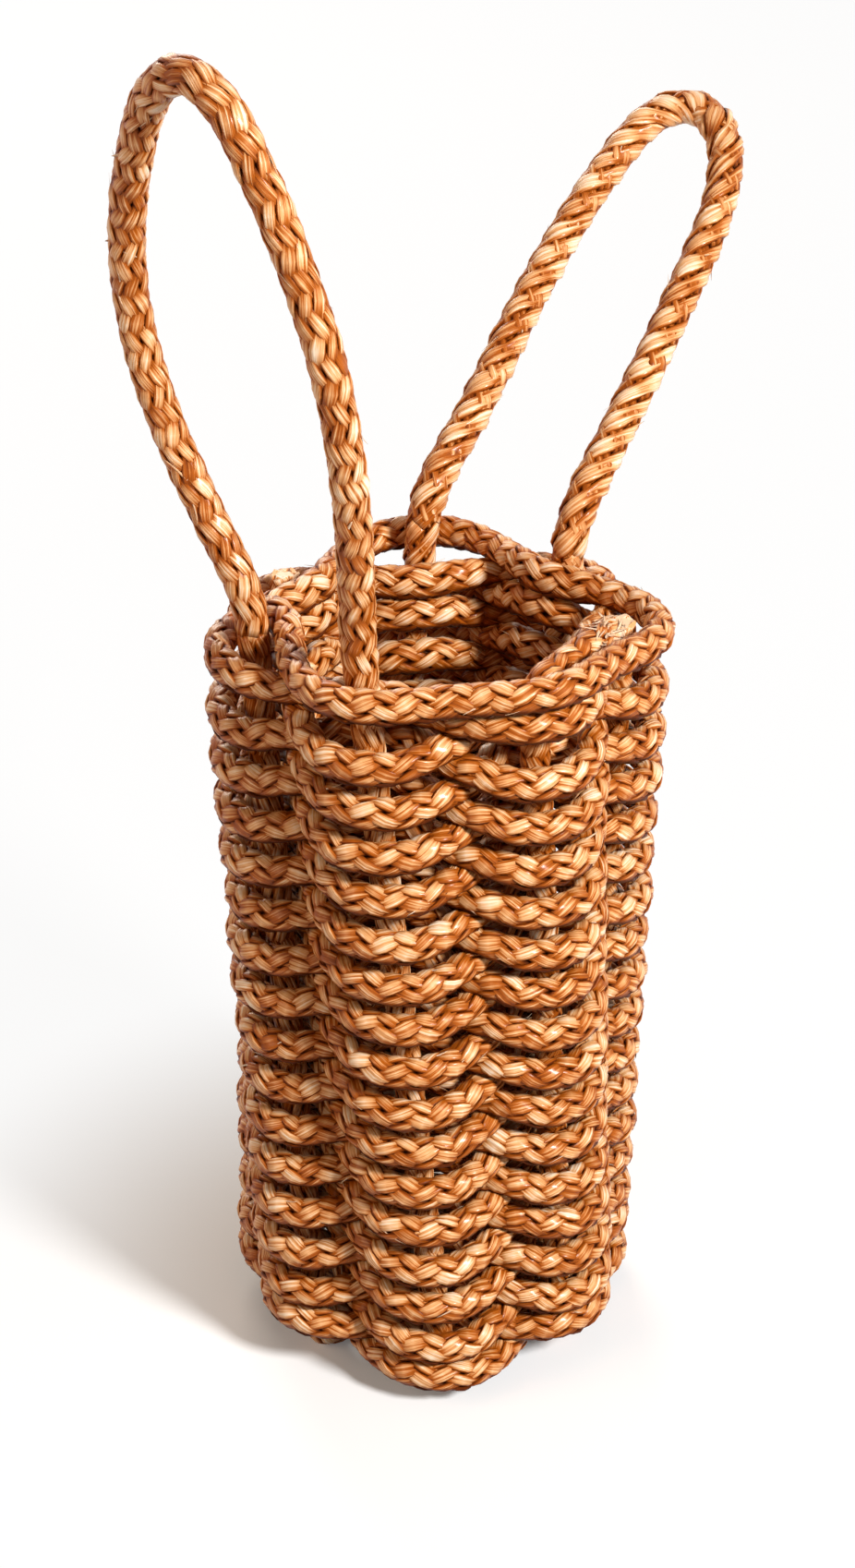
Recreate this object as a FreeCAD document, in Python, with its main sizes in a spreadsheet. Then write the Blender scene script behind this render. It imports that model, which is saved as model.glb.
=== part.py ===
import FreeCAD, Part
import math
import os

import Sketcher
from FreeCAD import Placement, Rotation, Vector

# A carrier for one bottle, woven by hand from braided rope: seven stakes, a weaver that
# passes over one stake and under the next, a flat coil as the floor, and two loop handles.
# The origin is the middle of the floor's underside, +Z is up and the front is -Y.

# Driving sizes, in millimetres and degrees.
SIZES = (
    ("stake_count", 7),
    ("ring_radius", 53.5),
    ("stake_lean", 5.4),
    ("first_stake_angle", -138.2),
    ("rope_width", 9.6),
    ("rope_sides", 8),
    ("stake_bend", 10.5),
    ("hub_radius", 12.0),
    ("core_overreach", 6.0),
    ("foot_flat_share", 0.1),
    ("clearance", 0.3),
    ("weaver_width", 9.4),
    ("weaver_span_height", 10.6),
    ("weaver_cross_height", 7.3),
    ("course_count", 32),
    ("course_pitch", 7.87),
    ("weave_base", 10.0),
    ("start_passes", 4),
    ("weaver_end_share", 0.25),
    ("coil_turns", 2.5),
    ("coil_steps", 20),
    ("coil_gap", 0.5),
    ("coil_height", 9.2),
    ("tail_bend", 9.0),
    ("tail_run", 34.0),
    ("tail_drop", 2.0),
    ("fold_angle", 94.0),
    ("rim_lift", 3.5),
    ("rim_bulge_share", 0.55),
    ("trim_drop", 2.0),
    ("handle_width", 11.4),
    ("handle_deflection", 0.25),
    ("fold_clearance", 0.4),
    ("near_height", 183.0),
    ("near_lean", 12.0),
    ("far_height", 167.0),
    ("far_lean", 54.0),
)

STAKE_NAMES = "abcdefg"
# Stakes that are cut off at the rim, and the one that is folded over there with a tail.
TRIMMED_STAKES = "dg"
TAILED_STAKE = "c"
FOLD_PASS = STAKE_NAMES.index(TAILED_STAKE)
# The spoke of this stake runs on across the middle of the floor.
CORE_STAKE = "d"

# Sections of the weaver, as shares of the way from one stake to the next.
STAKE_FLAT_SHARE = 1 / 8
CROSSING_SHARE = 3 / 8
JUNCTION_SHARE = 1 / 2

# A stake turns square at the floor.
SQUARE_ANGLE = 90

# Rings of a handle's rounded foot, from its tip.
DOME_ANGLES = (80, 55, 28)

# A handle's tangent arcs start this share of the shorter run away from each route point.
ARC_START_SHARE = 0.45

# Handle routes: shares of the distance between the feet, and of the loop's height.
NEAR_ROUTE_SHARES = (
    (0.00, 0.000),
    (-0.25, 0.130),
    (-0.50, 0.315),
    (-0.56, 0.500),
    (-0.39, 0.685),
    (-0.08, 0.848),
    (0.16, 0.940),
    (0.48, 1.000),
    (0.78, 0.973),
    (0.95, 0.886),
    (1.11, 0.770),
    (1.28, 0.576),
    (1.26, 0.360),
    (1.14, 0.174),
    (1.00, 0.000),
)
FAR_ROUTE_SHARES = (
    (0.00, 0.000),
    (-0.06, 0.155),
    (-0.14, 0.357),
    (-0.21, 0.565),
    (-0.25, 0.750),
    (-0.20, 0.872),
    (-0.07, 0.957),
    (0.16, 1.000),
    (0.40, 0.968),
    (0.54, 0.872),
    (0.70, 0.680),
    (0.81, 0.450),
    (0.87, 0.220),
    (1.00, 0.000),
)

doc = FreeCAD.newDocument("bottle_carrier")
sheet = doc.addObject("Spreadsheet::Sheet", "sizes")
for row, (alias, value) in enumerate(SIZES, start=1):
    sheet.set("A%d" % row, alias)
    sheet.set("B%d" % row, str(value))
    sheet.setAlias("B%d" % row, alias)
doc.recompute()


def size(alias):
    """One driving size, read from the sheet."""
    return float(sheet.get(alias))


STAKE_COUNT = int(size("stake_count"))
STAKE_STEP = 360 / STAKE_COUNT
HALF_SIDE_ANGLE = math.pi / size("rope_sides")
STAKE_CORNER = size("rope_width") / 2 / math.cos(HALF_SIDE_ANGLE)
SPOKE_HEIGHT = size("rope_width") * (1 / 2 - size("foot_flat_share"))
REACH = STAKE_CORNER + size("clearance") + size("weaver_width") / 2
FLOOR_LEVEL = SPOKE_HEIGHT + STAKE_CORNER + size("clearance")

LAST_PASS = int(size("course_count")) * STAKE_COUNT + int(size("start_passes")) - 1
PASS_RISE = size("course_pitch") / STAKE_COUNT
WEAVE_TOP = size("weave_base") + LAST_PASS * PASS_RISE

HANDLE_CORNER = size("handle_width") / 2 / math.cos(HALF_SIDE_ANGLE)
HINGE_HEIGHT = WEAVE_TOP + size("weaver_span_height") / 2 + HANDLE_CORNER + size("fold_clearance")
TAIL_HEIGHT = WEAVE_TOP - size("tail_drop")


def stake_point(index, height):
    """The middle of a stake at a height above the ground."""
    slip = (height - SPOKE_HEIGHT) * math.tan(math.radians(size("stake_lean")))
    turn = Rotation(Vector(0, 0, 1), size("first_stake_angle") + index * STAKE_STEP)
    return turn.multVec(Vector(size("ring_radius"), -slip, 0)) + Vector(0, 0, height)


def section_corners(centre, across, upward, width, height):
    """The eight corners of a rope's section, which is flat on its sides, top and bottom."""
    flat_share = math.tan(HALF_SIDE_ANGLE)
    corners = []
    for x_share, y_share in ((1, flat_share), (flat_share, 1), (-flat_share, 1), (-1, flat_share),
                             (-1, -flat_share), (-flat_share, -1), (flat_share, -1), (1, -flat_share)):
        corners.append(centre + across * (x_share * width / 2) + upward * (y_share * height / 2))
    return corners


def flat_face(*corners):
    """A flat face between its corners."""
    return Part.Face(Part.makePolygon(corners + corners[:1]))


def faceted_rope(middles, upward, widths, heights):
    """A rope of flat facets from point to point, mitred at each one.

    The path is about square to the upward direction, and its first and last points only
    set the direction of the rope's two ends.
    """
    rings = []
    for before, middle, after, width, height in zip(middles, middles[1:], middles[2:], widths, heights):
        arriving = (middle - before).cross(upward).normalize()
        leaving = (after - middle).cross(upward).normalize()
        across = (arriving + leaving).normalize()
        rings.append(section_corners(middle, across / across.dot(leaving), upward, width, height))
    faces = [flat_face(*rings[0]), flat_face(*rings[-1])]
    for ring, ahead in zip(rings, rings[1:]):
        for side in range(len(ring)):
            faces.append(flat_face(ring[side - 1], ring[side], ahead[side]))
            faces.append(flat_face(ring[side - 1], ahead[side], ahead[side - 1]))
    shell = Part.makeShell(faces)
    shell.sewShape()
    solid = Part.makeSolid(shell)
    if solid.Volume < 0:
        solid.reverse()
    return solid


def add_shape(label, shape):
    """A document object that holds a finished shape."""
    piece = doc.addObject("Part::Feature", label)
    piece.Label = label
    piece.Shape = shape
    piece.Placement = Placement()
    return piece


# Sketch helpers for the bodies

def origin_plane(body, role):
    """One of a body's own origin planes."""
    return next(item for item in body.Origin.OriginFeatures if item.Role == role)


def bind(sketch, name, constraint, expression):
    """A named constraint of the sketch, driven by an expression on the sheet."""
    number = sketch.addConstraint(constraint)
    sketch.renameConstraint(number, name)
    sketch.setExpression("Constraints." + name, expression)


def rope_sketch(body, name, role, place, bend_alias=None):
    """The rope's eight-sided section about a place on an origin plane.

    Where the rope bends, the sketch also has the line that the section is turned about.
    """
    sketch = body.newObject("Sketcher::SketchObject", name)
    sketch.AttachmentSupport = [(origin_plane(body, role), "")]
    sketch.MapMode = "FlatFace"
    sketch.AttachmentOffset = place
    sides = int(size("rope_sides"))
    corners = []
    for side in range(sides):
        angle = (2 * side + 1) * HALF_SIDE_ANGLE
        corners.append(Vector(math.cos(angle), math.sin(angle), 0) * STAKE_CORNER)
    for side in range(sides):
        sketch.addGeometry(Part.LineSegment(corners[side - 1], corners[side]), False)
    circle = sketch.addGeometry(Part.Circle(Vector(), Vector(0, 0, 1), STAKE_CORNER), True)
    for side in range(sides):
        sketch.addConstraint(Sketcher.Constraint("Coincident", side, 2, (side + 1) % sides, 1))
        sketch.addConstraint(Sketcher.Constraint("PointOnObject", side, 1, circle))
        if side:
            sketch.addConstraint(Sketcher.Constraint("Equal", 0, side))
    sketch.addConstraint(Sketcher.Constraint("Vertical", 0))
    sketch.addConstraint(Sketcher.Constraint("Coincident", circle, 3, -1, 1))
    bind(sketch, "corner", Sketcher.Constraint("Radius", circle, STAKE_CORNER),
         "sizes.rope_width / 2 / cos(180 deg / sizes.rope_sides)")
    if bend_alias:
        bend = size(bend_alias)
        left = Vector(-STAKE_CORNER, bend, 0)
        right = Vector(STAKE_CORNER, bend, 0)
        line = sketch.addGeometry(Part.LineSegment(right, left), True)
        sketch.addConstraint(Sketcher.Constraint("Horizontal", line))
        bind(sketch, "bend", Sketcher.Constraint("DistanceY", circle, 3, line, 1, bend), "sizes." + bend_alias)
    doc.recompute()
    return sketch


# Stakes: a spoke under the floor, a bend and a leaning leg, one with a tail folded over at the rim

def add_run(body, name, sketch, length, backward=False):
    """A straight run of rope from a section."""
    run = body.newObject("PartDesign::Pad", name)
    run.Profile = sketch
    run.Length = length
    run.Reversed = backward
    doc.recompute()
    return run


def add_bend(body, name, sketch, angle):
    """A bend of rope from a section about the line in its sketch."""
    bend = body.newObject("PartDesign::Revolution", name)
    bend.Profile = sketch
    bend.ReferenceAxis = (sketch, ["Axis0"])
    bend.Angle = angle
    doc.recompute()
    return bend


def stake_top(index):
    """The height of a stake's leg at its top end."""
    letter = STAKE_NAMES[index]
    if letter == TAILED_STAKE:
        return TAIL_HEIGHT - size("tail_bend")
    if letter in TRIMMED_STAKES:
        return WEAVE_TOP - index * PASS_RISE + size("weaver_span_height") / 2 - size("trim_drop")
    return HINGE_HEIGHT - HANDLE_CORNER - size("clearance")


def add_tail(body, leg_top):
    """The tail of a stake, folded over at the rim towards the next stake."""
    ring, bend = size("ring_radius"), size("tail_bend")
    fold_place = Placement(Vector(ring, 0, leg_top), Rotation())
    fold = rope_sketch(body, "fold_section", "XY_Plane", fold_place, "tail_bend")
    add_bend(body, "fold", fold, size("fold_angle"))
    angle = math.radians(size("fold_angle"))
    run = bend * (1 - math.cos(angle))
    rise = leg_top + bend * math.sin(angle)
    droop = Rotation(Vector(1, 0, 0), SQUARE_ANGLE - size("fold_angle"))
    tail = rope_sketch(body, "tail_section", "XZ_Plane", Placement(Vector(ring, rise, -run), droop))
    add_run(body, "tail", tail, size("tail_run"), backward=True)


def add_stake(index, ground):
    """One stake, with its underside cut flat where it stands on the ground."""
    letter = STAKE_NAMES[index]
    hub = -size("core_overreach") if letter == CORE_STAKE else size("hub_radius")
    ring, bend = size("ring_radius"), size("stake_bend")
    leg_top = (stake_top(index) - SPOKE_HEIGHT) / math.cos(math.radians(size("stake_lean")))

    body = doc.addObject("PartDesign::Body", "rope_" + letter)
    spoke_place = Placement(Vector(0, 0, hub), Rotation())
    spoke = rope_sketch(body, "spoke_section_" + letter, "YZ_Plane", spoke_place)
    add_run(body, "spoke_" + letter, spoke, ring - bend - hub)
    corner_place = Placement(Vector(0, 0, ring - bend), Rotation())
    corner = rope_sketch(body, "corner_section_" + letter, "YZ_Plane", corner_place, "stake_bend")
    add_bend(body, "corner_" + letter, corner, SQUARE_ANGLE)
    leg_place = Placement(Vector(ring, 0, bend), Rotation())
    leg = rope_sketch(body, "leg_section_" + letter, "XY_Plane", leg_place)
    add_run(body, "leg_" + letter, leg, leg_top - bend)
    if letter == TAILED_STAKE:
        add_tail(body, leg_top)

    turn = Rotation(size("first_stake_angle") + index * STAKE_STEP, 0, size("stake_lean"))
    body.Placement = Placement(Vector(0, 0, SPOKE_HEIGHT), turn)
    stake = doc.addObject("Part::Cut", "stake_" + letter)
    stake.Base = body
    stake.Tool = ground
    stake.Label = "stake_" + letter
    return stake


def add_ground():
    """The ground under the floor, which cuts the spokes flat."""
    ground = doc.addObject("Part::Box", "ground")
    ground.setExpression("Length", "4 * sizes.ring_radius")
    ground.setExpression("Width", "4 * sizes.ring_radius")
    ground.setExpression("Height", "sizes.rope_width")
    ground.Placement = Placement(Vector(-1, -1, 0) * 2 * size("ring_radius")
                                 - Vector(0, 0, size("rope_width")), Rotation())
    doc.recompute()
    return ground


# Weaver: passes are counted down from the rim, one for each stake, inside a stake when even.
# At the rim it stays outside the folded stake as well.

def near_stake(passes):
    """Whether the weaver is at a stake there, and not where two courses cross."""
    return abs(passes - round(passes)) < (STAKE_FLAT_SHARE + CROSSING_SHARE) / 2


def weaver_point(passes):
    """The middle of the weaver, a number of passes below the rim, which inside stays above the spokes."""
    height = WEAVE_TOP - passes * PASS_RISE
    wave = -math.cos(math.pi * passes) / math.cos(math.pi * STAKE_FLAT_SHARE)
    from_fold = abs(passes - FOLD_PASS)
    if from_fold < 1:
        height += size("rim_lift") * (1 - from_fold)
        wave = 1 if near_stake(passes) else size("rim_bulge_share")
    elif wave < 0 and near_stake(passes):
        height = max(height, FLOOR_LEVEL + size("weaver_span_height") / 2)
    middle = stake_point(passes, height)
    stake_radius = math.hypot(middle.x, middle.y)
    side = math.copysign(1, wave)
    flat_angle = math.radians(STAKE_STEP * STAKE_FLAT_SHARE)
    swing = (stake_radius + side * REACH) / math.cos(flat_angle) - stake_radius
    radius = stake_radius + wave * side * swing
    return Vector(middle.x, middle.y, 0) * (radius / stake_radius) + Vector(0, 0, height)


def weaver_height(passes):
    """The weaver's height, which is squeezed flat where two courses cross between stakes."""
    full = near_stake(passes) or abs(passes - FOLD_PASS) < 1
    return size("weaver_span_height") if full else size("weaver_cross_height")


def add_course(label, first, last):
    """A stretch of the weaver between two places, given in passes."""
    places = [first]
    for stake in range(math.floor(first), math.ceil(last) + 1):
        for share in (-CROSSING_SHARE, -STAKE_FLAT_SHARE, STAKE_FLAT_SHARE, CROSSING_SHARE):
            if first < stake + share < last:
                places.append(stake + share)
    places.append(last)
    guides = [first - STAKE_FLAT_SHARE] + places + [last + STAKE_FLAT_SHARE]
    widths = [size("weaver_width")] * len(places)
    heights = [weaver_height(place) for place in places]
    rope = faceted_rope([weaver_point(place) for place in guides], Vector(0, 0, 1), widths, heights)
    return add_shape(label, rope)


# Floor: a flat coil on top of the spokes

def add_floor_coil():
    """A spiral of rope from the wall in towards the middle of the floor."""
    pitch = size("weaver_width") + size("coil_gap")
    height = FLOOR_LEVEL + size("coil_height") / 2
    outer = size("ring_radius") - REACH - size("weaver_width") - size("clearance")
    one_turn = int(size("coil_steps"))
    steps = int(size("coil_turns") * one_turn)
    middles = []
    for step in range(-1, steps + 2):
        turns = step / one_turn
        angle = math.radians(size("first_stake_angle")) - 2 * math.pi * turns
        outward = Vector(math.cos(angle), math.sin(angle), 0)
        middles.append(outward * (outer - pitch * turns) + Vector(0, 0, height))
    widths = [size("weaver_width")] * (steps + 1)
    heights = [size("coil_height")] * (steps + 1)
    coil = add_shape("floor_coil", faceted_rope(middles, Vector(0, 0, 1), widths, heights))
    least = min(math.dist(a, b) for a, b in zip(middles, middles[one_turn:])) - size("weaver_width")
    print("floor coil: least gap between turns %.2f mm" % least)
    return coil


# Handles: loops of rope that turn about a line through their two stakes at the rim

def rounded_path(points):
    """Straight runs joined by tangent arcs, with the radius of each arc."""
    edges = []
    radii = []
    start = points[0]
    for before, corner, after in zip(points, points[1:], points[2:]):
        back = before - corner
        ahead = after - corner
        inset = ARC_START_SHARE * min(back.Length, ahead.Length)
        half_turn = (math.pi - back.getAngle(ahead)) / 2
        back.normalize()
        ahead.normalize()
        radius = inset / math.tan(half_turn)
        inward = (back + ahead).normalize()
        middle = corner + inward * (radius / math.cos(half_turn) - radius)
        edges.append(Part.LineSegment(start, corner + back * inset).toShape())
        edges.append(Part.Arc(corner + back * inset, middle, corner + ahead * inset).toShape())
        start = corner + ahead * inset
        radii.append(radius)
    edges.append(Part.LineSegment(start, points[-1]).toShape())
    return Part.Wire(edges), radii


def rounded_end(tip, inner):
    """The middles and widths of a rope's rounded end, from the tip to the point that it is round about."""
    outward = (tip - inner).normalize()
    middles = []
    widths = []
    for angle in DOME_ANGLES:
        middles.append(tip + outward * (HANDLE_CORNER * math.sin(math.radians(angle))))
        widths.append(size("handle_width") * math.cos(math.radians(angle)))
    return middles, widths


def add_handle(label, first, second, route_shares, height_alias, lean_alias):
    """A loop handle from one stake to another, leaning outward, with its feet rounded about the hinge."""
    foot = stake_point(STAKE_NAMES.index(first), HINGE_HEIGHT)
    other = stake_point(STAKE_NAMES.index(second), HINGE_HEIGHT)
    span = other - foot
    along = Vector(span).normalize()
    outward = along.cross(Vector(0, 0, 1))
    lean = math.radians(size(lean_alias))
    upward = Vector(0, 0, 1) * math.cos(lean) + outward * math.sin(lean)
    points = [foot + span * x + upward * (y * size(height_alias)) for x, y in route_shares]
    path, radii = rounded_path(points)

    loop = path.discretize(Deflection=size("handle_deflection"))
    start_dome, start_widths = rounded_end(points[0], points[1])
    end_dome, end_widths = rounded_end(points[-1], points[-2])
    middles = start_dome + loop + end_dome[::-1]
    widths = start_widths + [size("handle_width")] * len(loop) + end_widths[::-1]
    guides = [middles[0] * 2 - middles[1]] + middles + [middles[-1] * 2 - middles[-2]]
    rope = faceted_rope(guides, along.cross(upward), widths, widths)
    section = flat_face(*section_corners(foot, along, upward, size("handle_width"), size("handle_width")))
    print("%s: rope %.1f mm long, volume %.3f of section times length, tightest arc %.1f mm"
          % (label, path.Length, rope.Volume / section.Area / path.Length, min(radii)))
    print("  hinge from %s to %s" % (foot, other))
    return add_shape(label, rope)


ground = add_ground()
pieces = [add_stake(index, ground) for index in range(STAKE_COUNT)]
for course in range(int(size("course_count"))):
    top = course * STAKE_COUNT - (JUNCTION_SHARE if course else size("weaver_end_share"))
    bottom = (course + 1) * STAKE_COUNT - JUNCTION_SHARE
    pieces.append(add_course("weave_course_%02d" % (course + 1), top, bottom))
pieces.append(add_course("weave_start", LAST_PASS - size("start_passes") + JUNCTION_SHARE,
                         LAST_PASS + size("weaver_end_share")))
pieces.append(add_floor_coil())
pieces.append(add_handle("near_handle", "a", "b", NEAR_ROUTE_SHARES, "near_height", "near_lean"))
pieces.append(add_handle("far_handle", "e", "f", FAR_ROUTE_SHARES, "far_height", "far_lean"))
doc.recompute()

for item in doc.Objects:
    if "Invalid" in item.State or "Error" in item.State:
        raise RuntimeError("%s failed: %s" % (item.Label, item.State))
for piece in pieces:
    if piece.Shape.isNull() or not piece.Shape.isValid() or len(piece.Shape.Solids) != 1:
        raise RuntimeError("%s is not one valid solid" % piece.Label)

os.makedirs("parts", exist_ok=True)
for piece in pieces:
    piece.Shape.exportStep("parts/%s.step" % piece.Label)
print("%d pieces, rim at %.1f mm, hinges at %.1f mm" % (len(pieces), WEAVE_TOP, HINGE_HEIGHT))
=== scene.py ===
"""Looks of a hand-woven rope bottle carrier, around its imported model.

Every rope is a round plait of strands. The strands are swept along the rope's middle
line, pass over and under each other, and differ a little from float to float. The middle
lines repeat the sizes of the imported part, in millimetres and degrees.
"""

import enum
import functools
import logging
import math
from dataclasses import dataclass, field
from typing import Iterable, Mapping, Optional, Sequence, Union

import bpy
import numpy as np
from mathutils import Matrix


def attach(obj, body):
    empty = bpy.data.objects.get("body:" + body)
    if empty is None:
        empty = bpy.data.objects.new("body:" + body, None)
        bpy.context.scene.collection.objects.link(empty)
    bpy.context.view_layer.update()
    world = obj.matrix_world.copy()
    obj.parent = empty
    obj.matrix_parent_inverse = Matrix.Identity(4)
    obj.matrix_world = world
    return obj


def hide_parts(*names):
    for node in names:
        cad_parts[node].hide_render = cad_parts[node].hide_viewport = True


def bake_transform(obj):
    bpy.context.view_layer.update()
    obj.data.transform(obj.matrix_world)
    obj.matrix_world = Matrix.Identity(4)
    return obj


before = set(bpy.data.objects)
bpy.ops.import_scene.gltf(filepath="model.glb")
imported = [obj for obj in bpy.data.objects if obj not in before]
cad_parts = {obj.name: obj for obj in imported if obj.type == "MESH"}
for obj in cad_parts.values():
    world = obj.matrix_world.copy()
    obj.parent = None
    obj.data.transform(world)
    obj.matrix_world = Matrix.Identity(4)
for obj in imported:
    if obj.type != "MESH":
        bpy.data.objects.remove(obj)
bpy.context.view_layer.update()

log = logging.getLogger("bottle_carrier")

Colour = tuple[float, float, float, float]
Place = tuple[float, float, float]

MM = 0.001  # in metres
CENTIMETRE = 10.0  # in millimetres
GROUND = 0.0
UP: Place = (0.0, 0.0, 1.0)
WHITE: Colour = (1.0, 1.0, 1.0, 1.0)
STRAND_MAP = "strand_map"
STRAND_MAP_ROOM = 50.0  # how far from nought a strand's map may start
BAKE_MAP = "OFBake"
BAKE_FILL_SHARE = 0.95  # how much of a row of the bake map a ring of faces fills
SAME_PLACE = 1e-6  # points of a line that are nearer than this count as one
LEAST_LENGTH = 1e-12  # vectors shorter than this are not stretched to one
SPARE_DRAWS = 3  # random draws past a line's end, so that every place has a next one
SEED = 7


class Body(str, enum.Enum):
    """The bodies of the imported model."""

    BASKET = "basket"
    NEAR = "near_handle"
    FAR = "far_handle"


class Slot(str, enum.Enum):
    """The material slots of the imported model."""

    STAKE = "stake_rope"
    WEAVER = "weaver_rope"
    HANDLE = "handle_rope"


class Way(enum.IntEnum):
    """Which way a strand winds round its rope."""

    RIGHT = 1
    LEFT = -1


class Fade(str, enum.Enum):
    """How a value goes from one end of its reach to the other."""

    STRAIGHT = "LINEAR"
    SMOOTH = "SMOOTHSTEP"


class Signal:
    """A value on its way through a shader: an output socket with arithmetic."""

    def __init__(self, graph: "Graph", socket: Optional[bpy.types.NodeSocket]) -> None:
        """Wrap one output socket of a graph."""
        self.graph = graph
        self.socket = socket

    def _math(self, operation: str, first: "Number", second: "Number") -> "Signal":
        """Add a Math node to the graph.

        Args:
            operation: Blender's name of the operation.
            first: The first number or signal.
            second: The second number or signal.

        Returns:
            The node's result.
        """
        return self.graph.add("ShaderNodeMath", {"operation": operation}, {0: first, 1: second})

    def __add__(self, other: "Number") -> "Signal":
        """Add a number or signal."""
        return self._math("ADD", self, other)

    def __radd__(self, other: "Number") -> "Signal":
        """Be added to a number."""
        return self._math("ADD", other, self)

    def __sub__(self, other: "Number") -> "Signal":
        """Take away a number or signal."""
        return self._math("SUBTRACT", self, other)

    def __rsub__(self, other: "Number") -> "Signal":
        """Be taken away from a number."""
        return self._math("SUBTRACT", other, self)

    def __mul__(self, other: "Number") -> "Signal":
        """Multiply by a number or signal."""
        return self._math("MULTIPLY", self, other)

    def __rmul__(self, other: "Number") -> "Signal":
        """Be multiplied by a number."""
        return self._math("MULTIPLY", other, self)


Number = Union[float, Signal]


class Graph:
    """The shader nodes of one material or world."""

    def __init__(self, owner: Union[bpy.types.Material, bpy.types.World]) -> None:
        """Start an empty graph.

        Args:
            owner: What the nodes belong to.
        """
        owner.use_nodes = True
        self.tree = owner.node_tree
        self.tree.nodes.clear()

    def add(self, kind: str, settings: Optional[Mapping[str, object]] = None,
            sockets: Optional[Mapping[Union[int, str], object]] = None,
            output: Union[int, str] = 0) -> Signal:
        """Add one node.

        Args:
            kind: The node's type.
            settings: The node's own settings, or "stops" with a ramp's places and colours.
            sockets: Values, or signals to link, by the input's name or number.
            output: The output to return.

        Returns:
            That output, or an empty signal where the node has none.
        """
        node = self.tree.nodes.new(kind)
        for name, value in (settings or {}).items():
            if name == "stops":
                self._set_stops(node.color_ramp.elements, value)
            else:
                setattr(node, name, value)
        for key, value in (sockets or {}).items():
            if isinstance(value, Signal):
                self.tree.links.new(value.socket, node.inputs[key])
            else:
                node.inputs[key].default_value = value
        return Signal(self, node.outputs[output] if len(node.outputs) else None)

    def mix(self, share: Signal, first: Union[Colour, Signal], second: Union[Colour, Signal]) -> Signal:
        """Two colours, mixed by the share of the second."""
        return self.add("ShaderNodeMix", {"data_type": "RGBA"}, {"Factor": share, 6: first, 7: second}, 2)

    def fade(self, value: Signal, reach: tuple[float, float], ends: tuple[float, float] = (0.0, 1.0),
             kind: Fade = Fade.SMOOTH) -> Signal:
        """Go from one number to another while a signal crosses a reach.

        Args:
            value: The signal.
            reach: Where the change begins and ends.
            ends: The numbers before and after it.
            kind: How it goes from one to the other.

        Returns:
            The changing number.
        """
        return self.add("ShaderNodeMapRange", {"interpolation_type": kind.value}, {
            "Value": value, "From Min": reach[0], "From Max": reach[1], "To Min": ends[0], "To Max": ends[1],
        })

    @staticmethod
    def _set_stops(elements: bpy.types.ColorRampElements, stops: Iterable[tuple[float, Colour]]) -> None:
        """Give a ramp its stops.

        Args:
            elements: The ramp's own stops.
            stops: The places and colours to set, in order of place.
        """
        for number, (place, colour) in enumerate(stops):
            element = elements[number] if number < len(elements) else elements.new(place)
            element.position = place
            element.color = colour


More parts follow.
